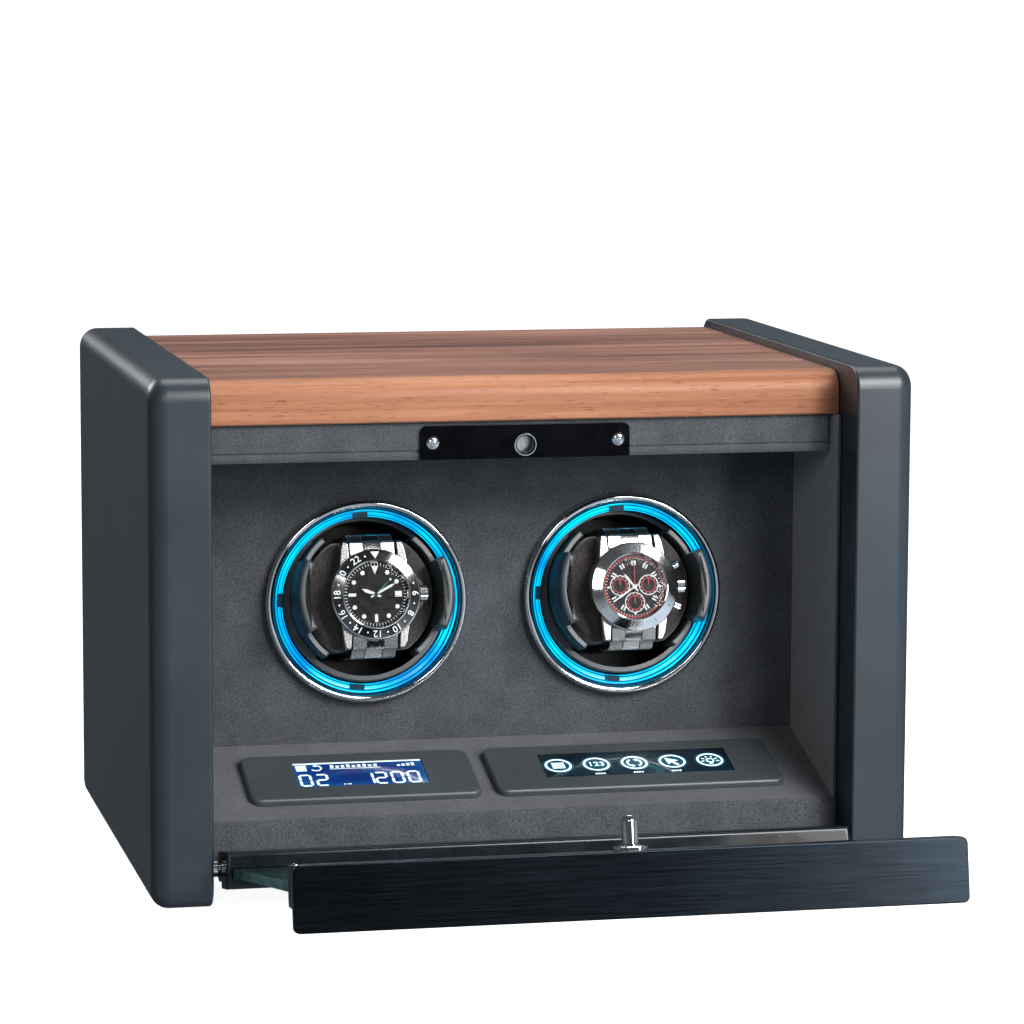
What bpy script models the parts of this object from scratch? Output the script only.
"""Watch winder box for two watches: a walnut top between two slab sides, a suede-lined
compartment with two lit, tilted rotors, a control deck, and a bottom-hinged glass door.

Lengths are in millimetres until an object is made, which turns them into metres.
X runs to the right, Y from the front to the back, Z up. Y = 0 is the side slabs' front plane
while the parts are drawn; the last step moves the whole box so that the origin is at the
middle of its footprint with the door open.
"""
import math

import bmesh
import bpy
from mathutils import Vector

MM = 0.001
GAP = 0.3                   # clearance between pieces that touch

# case
INNER = 278.0               # width between the side slabs
SLAB_T = 26.0
SLAB_H = 224.0
SLAB_REAR = 254.0
SLAB_CORNER = 10.0
SLAB_ROUND = 8.0
WOOD_TOP = 220.0
WOOD_T = 19.0
WOOD_FRONT = 26.0
WOOD_NOSE = 9.0
REAR_Y = 246.0              # back end of the top and the floor
COVER_T = 3.0
FLOOR_Z = 10.0
FLOOR_T = 5.7
BACK_Y = 90.0               # front face of the lined back panel
BACK_T = 4.0
LINER_T = 1.2
LINER_FRONT = 22.5
LINTEL_FRONT = 29.0
LINTEL_BACK = 45.0
LINTEL_BOTTOM = 184.5
LINTEL_HALF = 135.0

# deck that carries the controls
DECK_HALF = 137.2
DECK_TOE = (20.0, 21.5)     # foot of the deck's front face: Y, Z
DECK_FOLD = (22.0, 32.5)    # where the front face meets the slope
DECK_HEEL_Z = 52.4
DECK_T = 3.0
PLATE_T = 3.0
PLATE_NEAR, PLATE_FAR = 13.0, 54.2      # along the slope
DISPLAY_PLATE = (-117.5, -16.5)         # left, right
KEY_PLATE = (-9.5, 119.5)
DISPLAY_WINDOW = (-95.5, -38.0)
KEY_WINDOW = (14.0, 99.0)
WINDOW_NEAR, WINDOW_FAR = 23.6, 46.2

# door
AXIS_Y, AXIS_Z = 11.0, 16.5             # hinge axis
OPEN_TILT = math.radians(10.3)          # the open door stands this far above level
DOOR_LEN = 183.7                        # hinge axis to the outer face of the face plate
DOOR_TOP = 6.5                          # inner side of the bars above the axis
BAR_HALF = 135.3
BAR_NEAR, BAR_FAR = 5.5, 22.0
BAR_BOTTOM = -9.0
EAR_IN = 128.3
EAR_R = 6.4
PIN_R = 2.0
GLASS_HALF = 132.5
GLASS_TOP = -0.3
GLASS_T = 4.0
BLOCK_HALF = 133.5
BLOCK_T = 10.7
BLOCK_BOTTOM = -10.5
FACE_T = 4.0
FACE_HALF = 134.0
FACE_BOTTOM = -19.4
LOCK_U = DOOR_LEN - FACE_T - GAP - BLOCK_T / 2
LOCK_Z = AXIS_Z + LOCK_U                # the lock pin's height when the door is shut

# rotors, drawn about their own tilted axis; Y runs backwards along it, 0 at the disc's face
STATION_X = 58.0
RING_Z = 115.5
ROTOR_Y, ROTOR_Z = 93.0, 116.0
ROTOR_TILT = math.radians(12.0)
BEZEL_R = 45.0
BEZEL_IN = 41.8
LIGHT_IN = 37.2
LIGHT_BACK = BACK_Y + 0.9
DISC_R = 36.8
POCKET_HALF = 22.5
POCKET_R = 34.3
POCKET_BACK = 32.0
CUP_BACK = 34.5
ARM_IN, ARM_OUT = 30.0, 33.5
RIM_ANGLE, ARM_ANGLE = math.radians(52), math.radians(28)
RIM_FRONT, ARM_FRONT = -16.0, -33.0
HOUSING_IN, HOUSING_OUT = 38.0, 40.5
WALL_NEAR, WALL_FAR = 37.0, 40.0
BELT_NEAR, BELT_FAR = 44.3, 47.7
BELT_T = 1.3
BELT_R_ROTOR, BELT_R_MOTOR = 18.75, 4.2     # inner radii of the belt's two turns
MOTOR_UP = 54.0
MOTOR_R = 12.0
CUSHION_R = 29.4
CUSHION_HALF_Z = 24.2
CUSHION_FRONT, CUSHION_BACK = -16.8, 23.2
BAND_T = 2.8
BAND_HALF = 10.5
WATCH_R = 20.0
WATCH_FRONT = -31.0

SEG = 40                    # facets of a large circle
SEG_SMALL = 16

for old in list(bpy.data.objects):
    bpy.data.objects.remove(old, do_unlink=True)


def material(name, colour, roughness, metallic=0.0, glow=None, alpha=1.0):
    """A Principled material."""
    mat = bpy.data.materials.new(name)
    mat.use_nodes = True
    shader = mat.node_tree.nodes["Principled BSDF"]
    shader.inputs["Base Color"].default_value = (*colour, 1.0)
    shader.inputs["Roughness"].default_value = roughness
    shader.inputs["Metallic"].default_value = metallic
    shader.inputs["Alpha"].default_value = alpha
    if glow:
        shader.inputs["Emission Color"].default_value = (*glow, 1.0)
        shader.inputs["Emission Strength"].default_value = 2.0
    mat.diffuse_color = (*colour, alpha)
    return mat


SLAB = material("slab_lacquer", (0.028, 0.036, 0.042), 0.42)
WALNUT = material("walnut", (0.19, 0.085, 0.05), 0.35)
SUEDE = material("suede", (0.07, 0.07, 0.075), 0.95)
BOARD = material("board", (0.12, 0.11, 0.10), 0.8)
BLACK = material("black_plastic", (0.015, 0.016, 0.018), 0.4)
CHARCOAL = material("charcoal_plastic", (0.05, 0.055, 0.06), 0.5)
CHROME = material("chrome", (0.75, 0.75, 0.76), 0.08, 1.0)
BLACK_CHROME = material("black_chrome", (0.05, 0.05, 0.055), 0.12, 1.0)
BRUSHED = material("black_brushed_aluminium", (0.05, 0.06, 0.07), 0.35, 1.0)
PLATE = material("satin_grey_metal", (0.08, 0.09, 0.10), 0.45, 0.6)
STEEL = material("steel", (0.55, 0.55, 0.56), 0.25, 1.0)
RUBBER = material("belt_rubber", (0.02, 0.02, 0.02), 0.7)
BRASS = material("bushing_brass", (0.6, 0.42, 0.16), 0.3, 1.0)
GREEN = material("circuit_board", (0.02, 0.14, 0.06), 0.5)
GLASS = material("clear_glass", (0.75, 0.88, 0.85), 0.03, 0.0, alpha=0.35)
LIGHT = material("light_guide", (0.1, 0.7, 0.9), 0.3, 0.0, glow=(0.0, 0.75, 1.0))
DISPLAY = material("display_glass", (0.01, 0.03, 0.10), 0.1, 0.0, glow=(0.01, 0.05, 0.2))


def frame_empty(name, location, tilt):
    """A parent for parts drawn about their own origin, tilted about X."""
    empty = bpy.data.objects.new(name, None)
    bpy.context.collection.objects.link(empty)
    empty.location = Vector(location) * MM
    empty.rotation_euler = (tilt, 0.0, 0.0)
    return empty


CASE = frame_empty("case_frame", (0, 0, 0), 0.0)
DECK = frame_empty("deck_frame", (0, DECK_FOLD[0], DECK_FOLD[1]),
                   math.atan2(DECK_HEEL_Z - DECK_FOLD[1], BACK_Y - GAP - DECK_FOLD[0]))
DOOR = frame_empty("door_frame", (0, AXIS_Y, AXIS_Z), -OPEN_TILT)


def make(name, bm, mat, frame=CASE, smooth=True):
    """Turn a mesh drawn in millimetres into a named object under its frame."""
    bmesh.ops.scale(bm, vec=(MM, MM, MM), verts=bm.verts)
    bmesh.ops.recalc_face_normals(bm, faces=bm.faces)
    mesh = bpy.data.meshes.new(name)
    bm.to_mesh(mesh)
    bm.free()
    mesh.materials.append(mat)
    if smooth:
        mesh.shade_smooth()
        mesh.set_sharp_from_angle(angle=math.radians(35))
    obj = bpy.data.objects.new(name, mesh)
    bpy.context.collection.objects.link(obj)
    obj.parent = frame
    return obj


def combine(obj, bm, operation):
    """Cut a mesh out of obj, or join it to obj, with an exact Boolean."""
    tool = make(obj.name + "_tool", bm, obj.data.materials[0], obj.parent, smooth=False)
    tool.hide_render = True
    tool.display_type = "WIRE"
    step = obj.modifiers.new(operation.lower(), "BOOLEAN")
    step.operation = operation
    step.solver = "EXACT"
    step.object = tool
    return tool


def cut(obj, bm):
    return combine(obj, bm, "DIFFERENCE")


def join(obj, bm):
    return combine(obj, bm, "UNION")


def box(x, y, z):
    """A box from three (low, high) pairs."""
    bm = bmesh.new()
    corners = [bm.verts.new((a, b, c)) for c in z for b in y for a in x]
    for face in ((0, 2, 3, 1), (4, 5, 7, 6), (0, 1, 5, 4), (2, 6, 7, 3), (0, 4, 6, 2), (1, 3, 7, 5)):
        bm.faces.new([corners[i] for i in face])
    bmesh.ops.recalc_face_normals(bm, faces=bm.faces)
    return bm


def prism(outline, low, high, axis):
    """Extrude a flat outline along X (points are Y, Z) or along Y (points are X, Z)."""
    def place(point, along):
        a, b = point
        return (along, a, b) if axis == "x" else (a, along, b)
    bm = bmesh.new()
    ends = [[bm.verts.new(place(p, along)) for p in outline] for along in (low, high)]
    bm.faces.new(ends[0])
    bm.faces.new(ends[1])
    count = len(outline)
    for i in range(count):
        k = (i + 1) % count
        bm.faces.new((ends[0][i], ends[0][k], ends[1][k], ends[1][i]))
    bmesh.ops.recalc_face_normals(bm, faces=bm.faces)
    return bm


def sleeve(outer, inner, low, high, axis):
    """Extrude the band between two outlines with the same number of points."""
    bm = prism(outer, low, high, axis)
    inside = prism(inner, low, high, axis)
    keep = []
    for mesh in (bm, inside):
        mesh.verts.ensure_lookup_table()
        keep.append([v.co.copy() for v in mesh.verts])
    bm.free()
    inside.free()
    bm = bmesh.new()
    rings = [[bm.verts.new(co) for co in ring] for ring in keep]
    count = len(outer)
    for i in range(count):
        k = (i + 1) % count
        for ring in rings:
            bm.faces.new((ring[i], ring[k], ring[k + count], ring[i + count]))
        for end in (0, count):
            bm.faces.new((rings[0][i + end], rings[0][k + end], rings[1][k + end], rings[1][i + end]))
    return bm


def turned(profile, segments=SEG, axis="y", centre=(0.0, 0.0)):
    """Turn a closed profile of (radius, along) points about an axis parallel to Y or X.

    centre gives (X, Z) for an axis along Y, or (Y, Z) for one along X. A point with radius 0
    is a pole.
    """
    bm = bmesh.new()
    rings = []
    for radius, along in profile:
        ring = []
        for i in range(1 if radius == 0 else segments):
            angle = 2 * math.pi * i / segments
            a = centre[0] + radius * math.cos(angle)
            b = centre[1] + radius * math.sin(angle)
            ring.append(bm.verts.new((a, along, b) if axis == "y" else (along, a, b)))
        rings.append(ring)
    for j, ring in enumerate(rings):
        after = rings[(j + 1) % len(rings)]
        if len(ring) == 1 and len(after) == 1:
            continue
        for i in range(segments):
            quad = [ring[i % len(ring)], ring[(i + 1) % len(ring)],
                    after[(i + 1) % len(after)], after[i % len(after)]]
            corners = list(dict.fromkeys(quad))
            bm.faces.new(corners)
    return bm


def rod(radius, low, high, segments=SEG_SMALL, axis="y", centre=(0.0, 0.0)):
    return turned([(0, low), (radius, low), (radius, high), (0, high)], segments, axis, centre)


def arc(centre, radius, start, end, steps):
    """Points on an arc, angles in degrees."""
    points = []
    for i in range(steps + 1):
        angle = math.radians(start + (end - start) * i / steps)
        points.append((centre[0] + radius * math.cos(angle), centre[1] + radius * math.sin(angle)))
    return points


def rounded(a, b, radius, steps=3):
    """A rectangle with round corners from two (low, high) pairs."""
    points = []
    for ca, cb, start in ((a[1] - radius, b[1] - radius, 0), (a[0] + radius, b[1] - radius, 90),
                          (a[0] + radius, b[0] + radius, 180), (a[1] - radius, b[0] + radius, 270)):
        points += arc((ca, cb), radius, start, start + 90, steps)
    return points


def bevel_edges(bm, chosen, width, segments):
    bmesh.ops.bevel(bm, geom=[e for e in bm.edges if chosen(e)], offset=width,
                    segments=segments, profile=0.5, affect="EDGES", clamp_overlap=False)


# ---- case ---------------------------------------------------------------------------------

def side_slab(side, word):
    """A slab that is also the foot: round outside, nearly sharp inside."""
    inner, outer = side * INNER / 2, side * (INNER / 2 + SLAB_T)
    outline = rounded((0, SLAB_REAR), (0, SLAB_H), SLAB_CORNER, 4)
    bm = prism(outline, min(inner, outer), max(inner, outer), "x")
    bevel_edges(bm, lambda e: all(abs(v.co.x - outer) < 0.01 for v in e.verts), SLAB_ROUND, 4)
    bevel_edges(bm, lambda e: all(abs(v.co.x - inner) < 0.01 for v in e.verts), 1.2, 2)
    slab = make("side_panel_" + word, bm, SLAB)
    bore = sorted((inner - side, inner + side * 8))
    cut(slab, rod(PIN_R + GAP, bore[0], bore[1], axis="x", centre=(AXIS_Y, AXIS_Z)))


SCREW_X = 120.0
SCREW_ZS = {"top": WOOD_TOP - WOOD_T / 2, "bottom": FLOOR_Z + FLOOR_T / 2}


def cut_cover_screws(obj, row):
    """Pilot holes for the rear cover's screws."""
    for side in (-1, 1):
        cut(obj, rod(1.5, REAR_Y - 10, REAR_Y + 6, 10, centre=(side * SCREW_X, SCREW_ZS[row])))


def case_parts():
    for side, word in ((-1, "left"), (1, "right")):
        side_slab(side, word)
    half = INNER / 2 - GAP
    under = WOOD_TOP - WOOD_T
    nose = arc((WOOD_FRONT + WOOD_NOSE, WOOD_TOP - WOOD_NOSE), WOOD_NOSE, 180, 90, 6)
    outline = [(WOOD_FRONT + 1, under), (WOOD_FRONT, under + 1)] + nose
    outline += [(REAR_Y - 1, WOOD_TOP), (REAR_Y, WOOD_TOP - 1), (REAR_Y, under)]
    cut_cover_screws(make("wood_top", prism(outline, -half, half, "x"), WALNUT), "top")

    # the floor is notched at its front corners, where the door's hinge ears turn
    floor = make("floor_board", box((-half, half), (AXIS_Y - 1.5, REAR_Y),
                                    (FLOOR_Z, FLOOR_Z + FLOOR_T)), BOARD)
    for side in (-1, 1):
        notch = sorted((side * (EAR_IN - 0.8), side * (half + 1)))
        cut(floor, box(notch, (0, AXIS_Y + 9), (FLOOR_Z - 1, FLOOR_Z + FLOOR_T + 1)))
    cut_cover_screws(floor, "bottom")

    cover_z = (FLOOR_Z, WOOD_TOP - 1)
    cover_y = (REAR_Y + GAP, REAR_Y + GAP + COVER_T)
    cover = make("rear_cover", box((-half, half), cover_y, cover_z), BOARD)
    for row in SCREW_ZS:
        cut_cover_screws(cover, row)
    cut(cover, rod(5.5, cover_y[0] - 1, cover_y[1] + 1, centre=SOCKET_AT))
    for row, height in SCREW_ZS.items():
        for side, word in ((-1, "left"), (1, "right")):
            head = cover_y[1] + GAP
            profile = [(0, head - 13), (1.2, head - 13), (1.2, head), (3.2, head),
                       (2.6, head + 1.6), (0, head + 1.6)]
            make(f"rear_screw_{row}_{word}", turned(profile, 10, centre=(side * SCREW_X, height)),
                 STEEL)

    back = make("back_panel", box((-half, half), (BACK_Y, BACK_Y + BACK_T),
                                  (FLOOR_Z + FLOOR_T + GAP, under - GAP)), SUEDE)
    for side in (-1, 1):
        cut(back, rod(BEZEL_IN + GAP, BACK_Y - 1, BACK_Y + BACK_T + 1, SEG,
                      centre=(side * STATION_X, RING_Z)))
    liner_z = (FLOOR_Z + FLOOR_T + GAP, under - GAP)
    for side, word in ((-1, "left"), (1, "right")):
        span = sorted((side * (half - LINER_T), side * half))
        make("liner_" + word, box(span, (LINER_FRONT, BACK_Y - GAP), liner_z), SUEDE)
    liner_in = half - LINER_T - GAP
    make("ceiling_liner", box((-liner_in, liner_in), (LINTEL_BACK + GAP, BACK_Y - GAP),
                              (under - GAP - 1.5, under - GAP)), SUEDE)
    make("sill", prism(rounded((AXIS_Y - 1.5, DECK_TOE[0] - GAP),
                               (FLOOR_Z + FLOOR_T + GAP, DECK_TOE[1] - 0.5), 1.0, 2),
                       -EAR_IN + 0.8, EAR_IN - 0.8, "x"), SUEDE)


SOCKET_AT = (95.0, 40.0)    # X, Z of the power inlet in the rear cover


def power_inlet():
    face = REAR_Y + GAP + COVER_T + GAP
    profile = [(0, face - 14), (5.0, face - 14), (5.0, face), (7.0, face), (7.0, face + 1.5),
               (3.1, face + 1.5), (3.1, face - 9), (0, face - 9)]
    make("power_inlet", turned(profile, 20, centre=SOCKET_AT), BLACK)


# ---- lintel and lock ----------------------------------------------------------------------

LOCK_HALF = 45.8
LOCK_SCREW_X = 40.5
LOCK_Z_SPAN = (LINTEL_BOTTOM + 0.3, 199.4)


def lock_parts():
    top = WOOD_TOP - WOOD_T - GAP
    outline = [(LINTEL_FRONT, LINTEL_BOTTOM + 1.5)]
    outline += arc((LINTEL_FRONT + 1.5, LINTEL_BOTTOM + 1.5), 1.5, 180, 270, 3)[1:]
    outline += [(LINTEL_BACK, LINTEL_BOTTOM), (LINTEL_BACK, top), (LINTEL_FRONT, top)]
    lintel = make("lintel", prism(outline, -LINTEL_HALF, LINTEL_HALF, "x"), SUEDE)
    cut(lintel, box((-12, 12), (LINTEL_FRONT + 2, LINTEL_BACK + 1), (LOCK_Z - 5, LOCK_Z + 5)))
    cut(lintel, rod(4.4, LINTEL_FRONT - 1, LINTEL_FRONT + 3, centre=(0, LOCK_Z)))
    make("lock_magnet", box((-11.7, 11.7), (LINTEL_FRONT + 4.2, LINTEL_BACK - 2),
                            (LOCK_Z - 4.7, LOCK_Z + 4.7)), STEEL)
    plate_y = (LINTEL_FRONT - GAP - 1.2, LINTEL_FRONT - GAP)
    outline = [(-LOCK_HALF, LOCK_Z_SPAN[0]), (LOCK_HALF, LOCK_Z_SPAN[0])]
    outline += arc((LOCK_HALF - 3, LOCK_Z_SPAN[1] - 3), 3, 0, 90, 4)
    outline += arc((-LOCK_HALF + 3, LOCK_Z_SPAN[1] - 3), 3, 90, 180, 4)
    plate = make("lock_plate", prism(outline, plate_y[0], plate_y[1], "y"), BLACK_CHROME)
    cut(plate, rod(3.9, plate_y[0] - 1, plate_y[1] + 1, 20, centre=(0, LOCK_Z)))
    screw_z = sum(LOCK_Z_SPAN) / 2
    for side, word in ((-1, "left"), (1, "right")):
        at = (side * LOCK_SCREW_X, screw_z)
        cut(plate, rod(1.6, plate_y[0] - 1, plate_y[1] + 1, 10, centre=at))
        cut(lintel, rod(1.6, LINTEL_FRONT - 1, LINTEL_FRONT + 9, 10, centre=at))
        head = plate_y[0] - GAP
        profile = [(0, head - 1.5), (2.3, head - 1.5), (3.0, head), (1.3, head), (1.3, head + 9),
                   (0, head + 9)]
        make("lock_plate_screw_" + word, turned(profile, 12, centre=at), CHROME)


# ---- control deck -------------------------------------------------------------------------

def deck_parts():
    back = BACK_Y - GAP
    foot = FLOOR_Z + FLOOR_T + GAP
    slope = math.atan2(DECK_HEEL_Z - DECK_FOLD[1], back - DECK_FOLD[0])
    drop = DECK_T / math.cos(slope)
    outline = [(DECK_TOE[0], foot), DECK_TOE, DECK_FOLD, (back, DECK_HEEL_Z),
               (back, DECK_HEEL_Z - drop), (DECK_FOLD[0] + DECK_T, DECK_FOLD[1] - drop + 0.8),
               (DECK_TOE[0] + DECK_T, foot)]
    make("control_deck", prism(outline, -DECK_HALF, DECK_HALF, "x"), SUEDE)
    for name, plate, window, pane in (
            ("display_panel", DISPLAY_PLATE, DISPLAY_WINDOW, "display_window"),
            ("key_panel", KEY_PLATE, KEY_WINDOW, "key_window")):
        bm = prism(rounded(plate, (PLATE_NEAR, PLATE_FAR), 4.0, 4), 0, PLATE_T, "y")
        # the outline is drawn upright, so it is laid down onto the slope
        for v in bm.verts:
            v.co = Vector((v.co.x, v.co.z, GAP + v.co.y))
        top = GAP + PLATE_T
        bevel_edges(bm, lambda e: all(v.co.z > top - 0.01 for v in e.verts), 1.2, 2)
        obj = make(name, bm, PLATE, DECK)
        near_far = (WINDOW_NEAR, WINDOW_FAR)
        cut(obj, box(window, near_far, (-1, 6)))
        inset = [(low + GAP, high - GAP) for low, high in (window, near_far)]
        make(pane, box(inset[0], inset[1], (GAP, top + 0.1)), DISPLAY, DECK)
    board = make("control_board", box((-110, 110), (36, 74), (23.0, 24.6)), GREEN)
    for x in (-104, 104):
        for y in (41, 69):
            join(board, rod_up(3.0, foot, 23.4, (x, y)))


def rod_up(radius, low, high, at):
    """A round post along Z."""
    bm = rod(radius, low, high, 8)
    for v in bm.verts:
        v.co = Vector((at[0] + v.co.x, at[1] + v.co.z, v.co.y))
    return bm


# ---- door ---------------------------------------------------------------------------------
# Drawn about the hinge axis: Y = -u, where u runs from the axis to the free edge, and Z
# towards the side that faces the compartment when the door is shut.

def door_box(half, u, z):
    return box((-half, half), (-u[1], -u[0]), z)


def door_parts():
    glass_z = (GLASS_TOP - GLASS_T, GLASS_TOP)
    slot_z = (glass_z[0] - GAP, glass_z[1] + GAP)
    bar = door_box(BAR_HALF, (BAR_NEAR, BAR_FAR), (BAR_BOTTOM, DOOR_TOP))
    bevel_edges(bar, lambda e: all(v.co.y < -BAR_FAR + 0.01 for v in e.verts), 2.0, 3)
    bar = make("door_hinge_bar", bar, BLACK, DOOR)
    for side in (-1, 1):
        span = sorted((side * EAR_IN, side * BAR_HALF))
        join(bar, rod(EAR_R, span[0], span[1], SEG_SMALL, "x"))
        join(bar, box(span, (-BAR_NEAR - 1, 0), (-EAR_R + 1.5, EAR_R - 1.5)))
    for side in (-1, 1):
        bore = sorted((side * (EAR_IN - 1), side * (BAR_HALF + 1)))
        cut(bar, rod(PIN_R + GAP, bore[0], bore[1], 12, "x"))
    cut(bar, door_box(BAR_HALF - 2, (BAR_FAR - 6, BAR_FAR + 1), slot_z))
    for side, word in ((-1, "left"), (1, "right")):
        profile = [(0, EAR_IN + 0.5), (PIN_R, EAR_IN + 0.5), (PIN_R, BAR_HALF + 0.4),
                   (3.0, BAR_HALF + 0.4), (3.0, INNER / 2 - 0.4), (PIN_R, INNER / 2 - 0.4),
                   (PIN_R, INNER / 2 + 7.5), (0, INNER / 2 + 7.5)]
        profile = [(radius, side * along) for radius, along in profile]
        make("hinge_pin_" + word, turned(profile, 12, "x"), CHROME, DOOR)

    block_u = (DOOR_LEN - FACE_T - GAP - BLOCK_T, DOOR_LEN - FACE_T - GAP)
    glass_u = (BAR_FAR - 6 + GAP, block_u[0] + 6 - GAP)
    glass = door_box(GLASS_HALF, glass_u, glass_z)
    bevel_edges(glass, lambda e: True, 0.4, 1)
    make("door_glass", glass, GLASS, DOOR, smooth=False)
    block = door_box(BLOCK_HALF, block_u, (BLOCK_BOTTOM, DOOR_TOP))
    bevel_edges(block, lambda e: all(v.co.z < BLOCK_BOTTOM + 0.01 for v in e.verts), 1.5, 2)
    block = make("door_top_bar", block, BLACK, DOOR)
    cut(block, door_box(BLOCK_HALF - 0.7, (block_u[0] - 1, block_u[0] + 6), slot_z))
    face = prism(rounded((-FACE_HALF, FACE_HALF), (FACE_BOTTOM, DOOR_TOP), 2.5, 3),
                 -DOOR_LEN, -DOOR_LEN + FACE_T, "y")
    bevel_edges(face, lambda e: all(v.co.y < -DOOR_LEN + 0.01 for v in e.verts), 0.5, 1)
    make("door_face_plate", face, BRUSHED, DOOR)

    base = DOOR_TOP + GAP
    foot = [(x, y - LOCK_U) for x, y in rounded((-6.7, 6.7), (-4.6, 4.6), 4.5, 4)]
    pin = prism(foot, base, base + 1.3, "y")
    for v in pin.verts:
        v.co = Vector((v.co.x, v.co.z, v.co.y))
    pin = make("lock_pin", pin, CHROME, DOOR)
    shank = turned([(0, base + 1), (3.3, base + 1), (3.3, base + 11.5), (2.2, base + 13.2),
                    (0, base + 13.2)], SEG_SMALL)
    for v in shank.verts:
        v.co = Vector((v.co.x, v.co.z - LOCK_U, v.co.y))
    join(pin, shank)


# ---- rotor stations -----------------------------------------------------------------------

def sector(inner, outer, middle, spread, steps=8):
    """An arc-shaped outline in the X, Z plane, angles in radians."""
    low, high = math.degrees(middle - spread), math.degrees(middle + spread)
    return arc((0, 0), outer, low, high, steps) + arc((0, 0), inner, high, low, steps)


def pocket_outline(half, radius, steps=8):
    """Straight sides and round ends above and below."""
    angle = math.degrees(math.acos(half / radius))
    return arc((0, 0), radius, angle, 180 - angle, steps) + \
        arc((0, 0), radius, 180 + angle, 360 - angle, steps)


def belt_outline(thickness, steps=10):
    """The loop round both pulleys, at a distance from its inner side."""
    lean = math.degrees(math.asin((BELT_R_ROTOR - BELT_R_MOTOR) / MOTOR_UP))
    rotor_turn = arc((0, 0), BELT_R_ROTOR + thickness, 180 - lean, 360 + lean, 2 * steps)
    motor_turn = arc((0, MOTOR_UP), BELT_R_MOTOR + thickness, lean, 180 - lean, steps)
    return rotor_turn + motor_turn


def fixed_station_parts(side, word, frame):
    ring_at = (side * STATION_X, RING_Z)
    front = BACK_Y - 5.2
    profile = [(BEZEL_IN, front + 1.2), (BEZEL_IN + 1.2, front), (BEZEL_R - 1.2, front),
               (BEZEL_R, front + 1.4), (BEZEL_R, BACK_Y - GAP), (BEZEL_IN, BACK_Y - GAP)]
    make("bezel_ring_" + word, turned(profile, centre=ring_at), CHROME)
    light_out = BEZEL_IN - GAP
    profile = [(light_out, front + 1.6), (LIGHT_IN, front + 4.5), (LIGHT_IN, LIGHT_BACK),
               (light_out, LIGHT_BACK)]
    make("light_ring_" + word, turned(profile, centre=ring_at), LIGHT)

    # the housing follows the tilted rotor, and stops short of the upright light ring
    profile = [(HOUSING_IN, -4.0), (HOUSING_OUT, -4.0), (HOUSING_OUT, WALL_FAR), (8.3, WALL_FAR),
               (8.3, WALL_NEAR), (HOUSING_IN, WALL_NEAR)]
    housing = make("cup_housing_" + word, turned(profile), BLACK, frame)
    join(housing, box((-17, 17), (WALL_NEAR, WALL_FAR), (36, MOTOR_UP + 14)))
    cut(housing, rod(2.5, WALL_NEAR - 1, WALL_FAR + 1, 12, centre=(0, MOTOR_UP)))
    trim = cut(housing, box((-50, 50), (60, LIGHT_BACK + GAP), (50, 180)))
    trim.parent = CASE
    trim.location = (side * STATION_X * MM, 0, 0)
    make("bushing_" + word, turned([(3.3, WALL_NEAR + 0.2), (8.0, WALL_NEAR + 0.2),
                                    (8.0, WALL_FAR - 0.2), (3.3, WALL_FAR - 0.2)], SEG_SMALL),
         BRASS, frame)
    motor_back = WALL_NEAR - GAP
    profile = [(0, 10), (MOTOR_R - 1.5, 10), (MOTOR_R, 11.5), (MOTOR_R, motor_back),
               (1.0, motor_back), (1.0, BELT_FAR + 1.5), (0, BELT_FAR + 1.5)]
    make("motor_" + word, turned(profile, SEG_SMALL, centre=(0, MOTOR_UP)), STEEL, frame)
    make("drive_belt_" + word, sleeve(belt_outline(BELT_T), belt_outline(0), BELT_NEAR, BELT_FAR,
                                      "y"), RUBBER, frame)


def pulley(radius, bore):
    """A flanged pulley's profile: its groove takes the belt."""
    low, high = BELT_NEAR - GAP, BELT_FAR + GAP
    groove, flange = radius - GAP, radius + 1.2
    return [(bore, low - 1), (flange, low - 1), (flange, low), (groove, low), (groove, high),
            (flange, high), (flange, high + 1), (bore, high + 1)]


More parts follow.
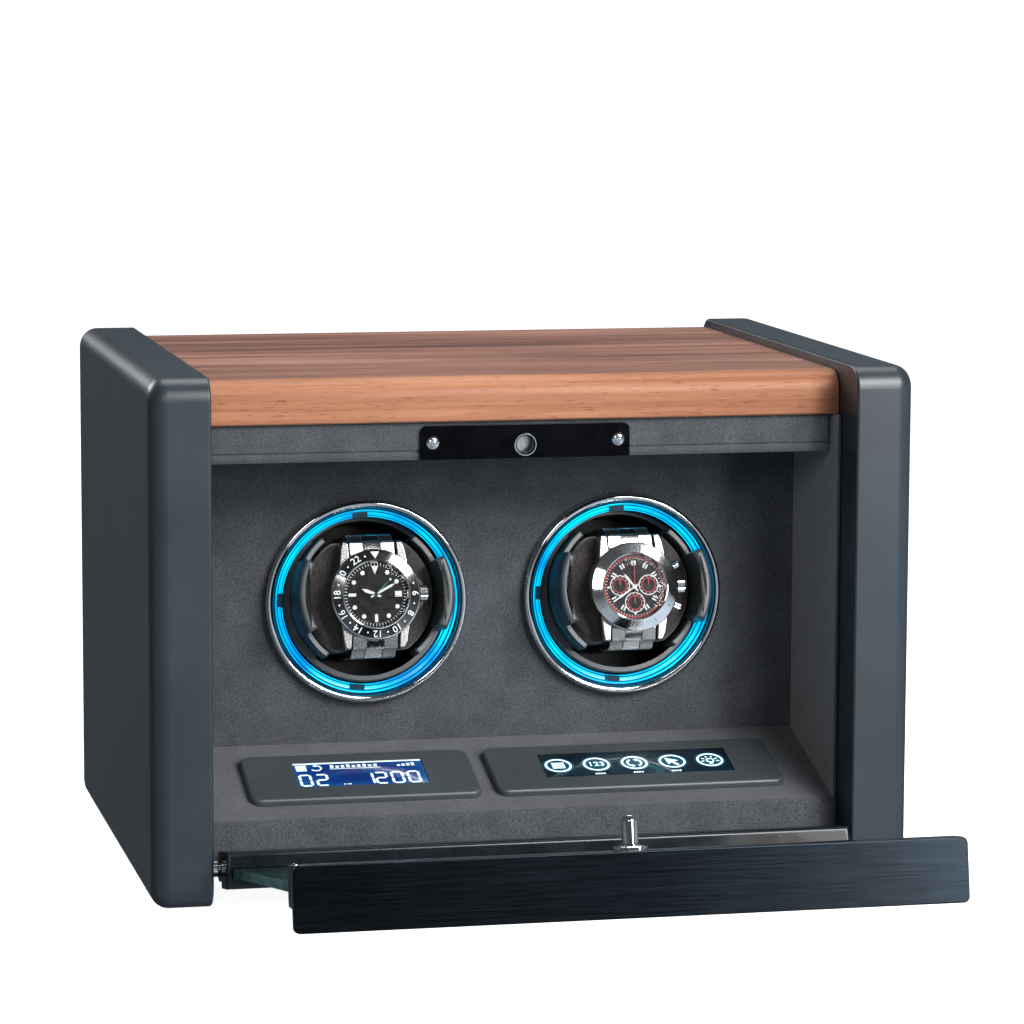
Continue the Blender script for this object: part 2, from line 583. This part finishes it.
def moving_station_parts(word, frame):
    cup = make("rotor_cup_" + word, rod(DISC_R, 0, CUP_BACK, SEG), CHARCOAL, frame)
    cut(cup, prism(pocket_outline(POCKET_HALF, POCKET_R), -1, POCKET_BACK, "y"))
    for middle in (0, math.pi):
        join(cup, prism(sector(ARM_IN, ARM_OUT, middle, RIM_ANGLE, 10), RIM_FRONT, 0.6, "y"))
        join(cup, prism(sector(ARM_IN + 0.2, ARM_OUT + 0.4, middle, ARM_ANGLE, 6), ARM_FRONT,
                        RIM_FRONT + 6, "y"))
    front = CUP_BACK + GAP
    profile = [(0, front), (9, front), (9, front + 1.5), (3, front + 1.5), (3, BELT_FAR + 3),
               (0, BELT_FAR + 3)]
    make("rotor_shaft_" + word, turned(profile, SEG_SMALL), STEEL, frame)
    make("rotor_pulley_" + word, turned(pulley(BELT_R_ROTOR, 3.3), 24), BLACK, frame)
    make("motor_pulley_" + word, turned(pulley(BELT_R_MOTOR, 1.3), SEG_SMALL,
                                        centre=(0, MOTOR_UP)), BRASS, frame)

    # the cushion fills the ring of the arms in front, and the pocket behind
    angle = math.degrees(math.asin(CUSHION_HALF_Z / CUSHION_R))
    shape = arc((0, 0), CUSHION_R, -angle, angle, 8) + arc((0, 0), CUSHION_R, 180 - angle,
                                                           180 + angle, 8)
    cushion = make("cushion_" + word, prism(shape, CUSHION_FRONT, -0.6, "y"), SUEDE, frame)
    stem = CUSHION_R * math.cos(math.radians(angle)) - 0.5
    join(cushion, box((-stem, stem), (-2, CUSHION_BACK), (-CUSHION_HALF_Z, CUSHION_HALF_Z)))
    inner = rounded((CUSHION_FRONT - GAP, CUSHION_BACK + GAP),
                    (-CUSHION_HALF_Z - GAP, CUSHION_HALF_Z + GAP), 0.4, 4)
    outer = rounded((CUSHION_FRONT - GAP - BAND_T, CUSHION_BACK + GAP + BAND_T),
                    (-CUSHION_HALF_Z - GAP - BAND_T, CUSHION_HALF_Z + GAP + BAND_T), 3.2, 4)
    watch = make("display_watch_" + word, sleeve(outer, inner, -BAND_HALF, BAND_HALF, "x"), STEEL,
                 frame)
    back = CUSHION_FRONT - GAP - BAND_T + 1
    join(watch, turned([(0, WATCH_FRONT), (WATCH_R - 2.5, WATCH_FRONT), (WATCH_R, WATCH_FRONT + 3),
                        (WATCH_R, back - 2), (WATCH_R - 2, back), (0, back)], 32))


def all_parts():
    case_parts()
    power_inlet()
    lock_parts()
    deck_parts()
    door_parts()
    for side, word in ((-1, "left"), (1, "right")):
        frame = frame_empty("rotor_frame_" + word, (side * STATION_X, ROTOR_Y, ROTOR_Z),
                            -ROTOR_TILT)
        fixed_station_parts(side, word, frame)
        moving_station_parts(word, frame)


def centre_on_footprint():
    """Move the box so that the origin is midway between its back and the open door's edge."""
    reach = DOOR_LEN * math.cos(OPEN_TILT) - FACE_BOTTOM * math.sin(OPEN_TILT)
    front = AXIS_Y - reach
    shift = -(front + SLAB_REAR) / 2 * MM
    for obj in bpy.data.objects:
        if obj.parent is None:
            obj.location.y += shift


all_parts()
centre_on_footprint()
